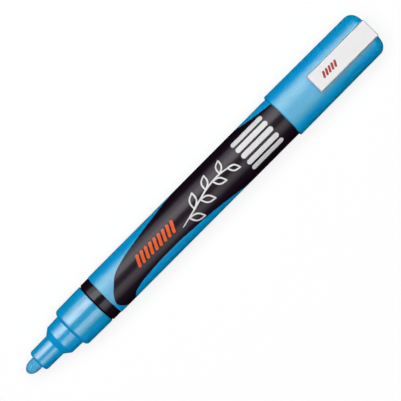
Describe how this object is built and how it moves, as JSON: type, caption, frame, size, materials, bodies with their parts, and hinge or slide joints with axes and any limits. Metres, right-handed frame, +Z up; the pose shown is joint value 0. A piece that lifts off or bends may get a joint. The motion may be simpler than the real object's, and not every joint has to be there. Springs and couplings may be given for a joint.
{
  "type": "liquid chalk marker",
  "caption": "Pearl blue liquid chalk marker with a bullet nib, a black label panel, a black collar and a clipped cap posted on its tail.",
  "frame": {"origin": "on the floor under the middle of the marker, cap posted, lying down with the clip facing up", "axes": "+X from the nib to the closed end of the cap, +Z up through the clip, +Y across"},
  "size_m": [0.1468, 0.016, 0.0175],
  "materials": {
    "blue_plastic": "pearl satin",
    "black_plastic": "satin",
    "white_plastic": "satin",
    "natural_plastic": "natural",
    "label_film": "printed film",
    "felt": "bonded fibre, stained by the paint",
    "steel": "bright"
  },
  "bodies": {
    "pen": {"barrel": "blue_plastic", "label_sleeve": "label_film", "tail_plug": "black_plastic", "front_section": "blue_plastic", "valve_housing": "black_plastic", "spring_retainer": "natural_plastic", "valve_spring": "steel"},
    "stem": {"valve_stem": "natural_plastic"},
    "nib": {"nib": "felt"},
    "ball": {"mixing_ball": "steel"},
    "cap": {"cap_shell": "blue_plastic", "inner_cap": "natural_plastic"},
    "clip": {"clip": "white_plastic"}
  },
  "joints": [
    {"name": "cap_pull", "type": "slide", "parent": "pen", "child": "cap", "axis": [1, 0, 0], "range_m": [0, 0.04]},
    {"name": "clip_flex", "type": "hinge", "parent": "cap", "child": "clip", "pos_m": [0.07255, 0, 0.0145], "axis": [0, 1, 0], "range_deg": [0, 5], "stiffness_Nm_per_rad": 1},
    {"name": "valve_press", "type": "slide", "parent": "pen", "child": "stem", "axis": [1, 0, 0], "range_m": [0, 0.0015], "stiffness_N_per_m": 500, "springref_m": -0.002, "deforming": ["valve_spring"]},
    {"name": "nib_pull", "type": "slide", "parent": "stem", "child": "nib", "axis": [-1, 0, 0], "range_m": [0, 0.03]},
    {"name": "ball_roll", "type": "slide", "parent": "pen", "child": "ball", "axis": [1, 0, 0], "range_m": [-0.009, 0.059]}
  ]
}
